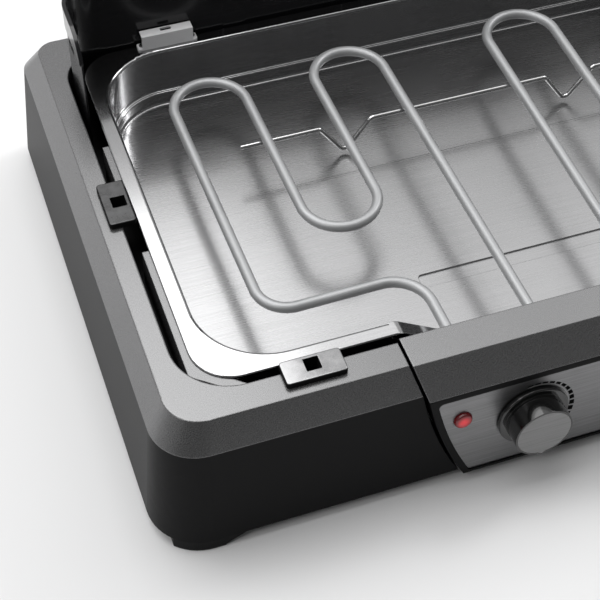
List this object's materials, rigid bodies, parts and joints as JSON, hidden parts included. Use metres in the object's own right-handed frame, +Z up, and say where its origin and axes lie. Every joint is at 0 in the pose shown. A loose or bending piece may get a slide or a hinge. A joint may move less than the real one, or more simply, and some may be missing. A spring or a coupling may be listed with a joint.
{
  "type": "tabletop electric griddle base",
  "caption": "Tabletop electric griddle base: moulded housing, lift-out water tray, heating loops on a removable control unit and a U-shaped wind shield.",
  "frame": {"origin": "on the table, under the middle of the whole footprint", "axes": "+X to the right seen from the control panel, +Y from the panel to the rear, +Z up"},
  "size_m": [0.557, 0.3887, 0.1636],
  "materials": {
    "housing_plastic": "fine-grained black moulding",
    "box_plastic": "fine-grained black moulding",
    "knob_plastic": "polished black moulding",
    "tray_steel": "finely brushed along its length",
    "lug_steel": "satin",
    "rest_steel": "bright satin",
    "plated_steel": "bright zinc plate",
    "wire_steel": "bright drawn wire",
    "element_sheath": "dull satin sheath",
    "shield_enamel": "gloss black enamel",
    "fascia_metal": "dark brushed and anodised",
    "cap_metal": "satin turned face",
    "lens_red": "clear red moulding",
    "lamp_glass": "clear",
    "insulator": "matt ceramic and phenolic",
    "wire_insulation": "heat-proof sleeve",
    "foot_rubber": "matt"
  },
  "bodies": {
    "base": {"base_housing": "housing_plastic", "bottom_plate": "plated_steel", "bottom_screws": "plated_steel", "rubber_feet": "foot_rubber", "support_lug_front_left": "lug_steel", "support_lug_front_right": "lug_steel", "support_lug_left": "lug_steel", "support_lug_right": "lug_steel", "lug_rivets": "plated_steel"},
    "tray": {"water_tray": "tray_steel", "rear_rest_left": "rest_steel", "rear_rest_right": "rest_steel", "rest_rivets": "plated_steel"},
    "control_unit": {"heating_element_left": "element_sheath", "heating_element_right": "element_sheath", "element_support_wire": "wire_steel", "control_box_housing": "box_plastic", "control_box_back": "box_plastic", "box_screws": "plated_steel", "fascia_frame": "box_plastic", "fascia_panel": "fascia_metal", "cord_gland": "foot_rubber", "indicator_lens_left": "lens_red", "indicator_lens_right": "lens_red", "indicator_lamp_left": "lamp_glass", "indicator_lamp_right": "lamp_glass", "thermostat_left": "insulator", "thermostat_right": "insulator", "terminal_seals": "insulator", "terminal_pins": "plated_steel", "element_bracket_left": "plated_steel", "element_bracket_right": "plated_steel", "terminal_block": "insulator", "safety_switch": "insulator", "internal_wiring": "wire_insulation"},
    "knob_left": {"knob_left": "knob_plastic", "knob_cap_left": "cap_metal", "knob_shaft_left": "plated_steel"},
    "knob_right": {"knob_right": "knob_plastic", "knob_cap_right": "cap_metal", "knob_shaft_right": "plated_steel"},
    "wind_shield": {"wind_shield": "shield_enamel"}
  },
  "joints": [
    {"name": "tray_lift", "type": "slide", "parent": "base", "child": "tray", "axis": [0, 0, 1], "range_m": [0, 0.16]},
    {"name": "control_unit_lift", "type": "slide", "parent": "tray", "child": "control_unit", "axis": [0, 0, 1], "range_m": [0, 0.12]},
    {"name": "wind_shield_lift", "type": "slide", "parent": "base", "child": "wind_shield", "axis": [0, 0, 1], "range_m": [0, 0.12]},
    {"name": "knob_left_turn", "type": "hinge", "parent": "control_unit", "child": "knob_left", "pos_m": [-0.0493, -0.17681, 0.0474], "axis": [0, 0.9967, -0.0808], "range_deg": [0, 300]},
    {"name": "knob_right_turn", "type": "hinge", "parent": "control_unit", "child": "knob_right", "pos_m": [0.0493, -0.17681, 0.0474], "axis": [0, 0.9967, -0.0808], "range_deg": [0, 300]}
  ]
}
